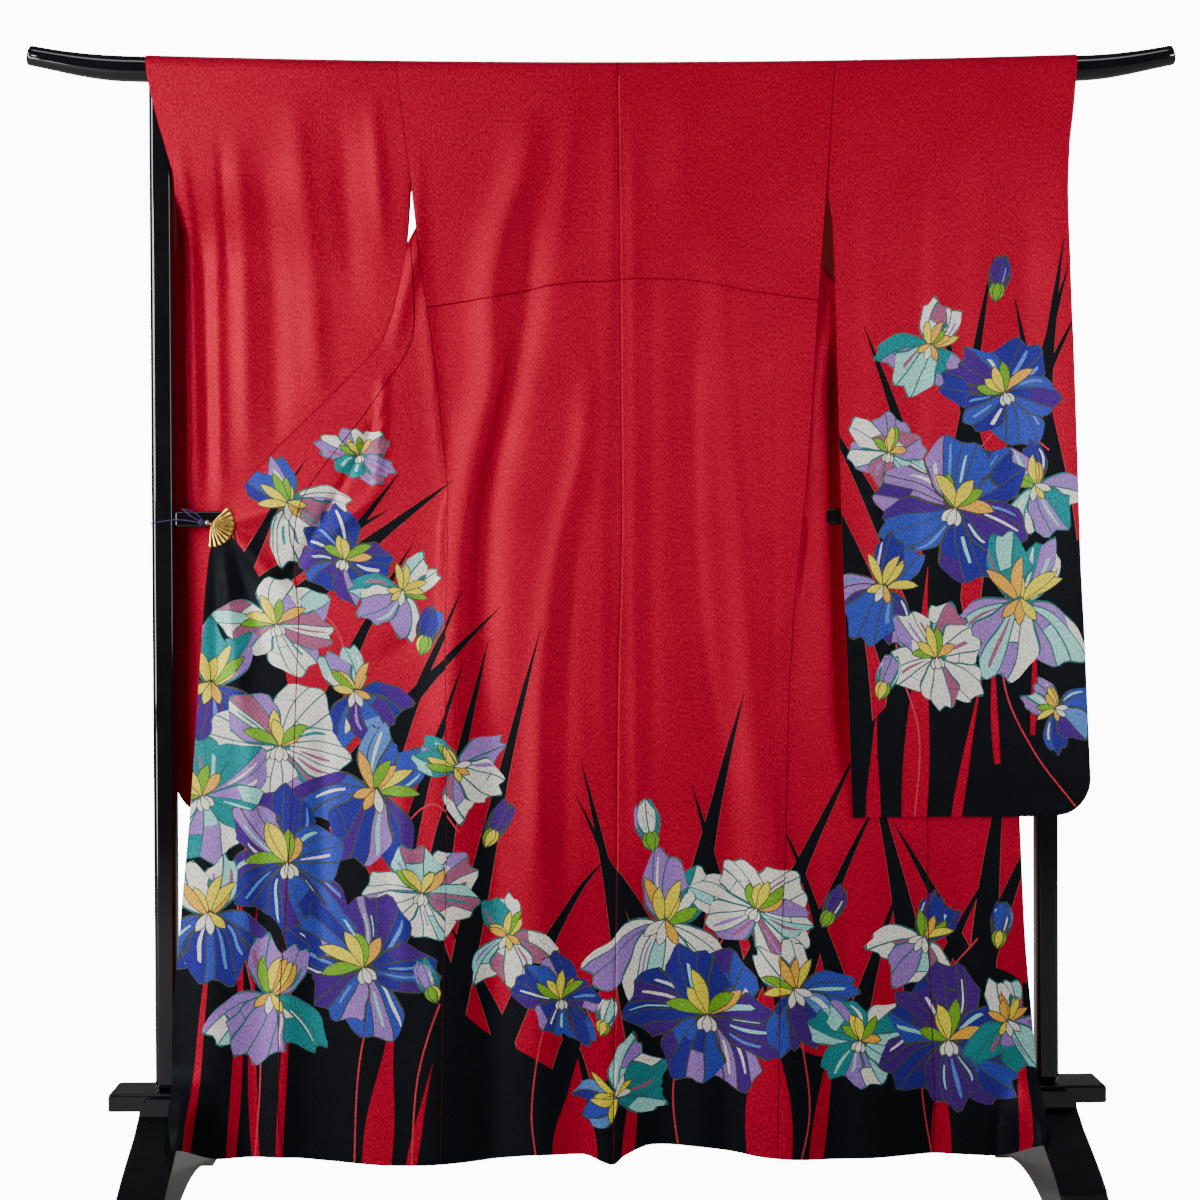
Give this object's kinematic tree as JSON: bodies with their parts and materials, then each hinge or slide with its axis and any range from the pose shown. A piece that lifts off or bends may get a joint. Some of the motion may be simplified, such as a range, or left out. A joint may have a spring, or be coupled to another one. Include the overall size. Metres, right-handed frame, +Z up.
{
  "type": "furisode kimono on a lacquered kimono rack",
  "caption": "Long-sleeved furisode draped over the top rail of a standing kimono rack, one front half opened out and held by a tied fan clip.",
  "frame": {"origin": "on the floor, midway between the rack's feet and in the plane of its posts", "axes": "+Z up, +X along the rails to the viewer's right, -Y towards the side that the garment's back shows on"},
  "size_m": [1.6392, 0.544, 1.6528],
  "materials": {
    "silk": "red crepe silk with a satin sheen, printed hem",
    "lacquer": "black gloss lacquer",
    "gold": "polished gold-coloured metal",
    "silver": "polished bead",
    "violet_cord": "braided cord"
  },
  "bodies": {
    "root": {"body_left": "silk", "body_right": "silk", "okumi_left": "silk", "okumi_right": "silk", "sleeve_left": "silk", "sleeve_right": "silk", "collar": "silk", "top_rail": "lacquer", "middle_rail": "lacquer", "post_left": "lacquer", "post_right": "lacquer", "tie_plank": "lacquer", "foot_left": "lacquer", "foot_right": "lacquer", "fan_clip": "gold", "clip_jaw": "gold", "clip_bead": "silver", "tie_knot": "violet_cord", "tie_cord": "violet_cord", "tie_tail": "violet_cord"}
  },
  "joints": []
}
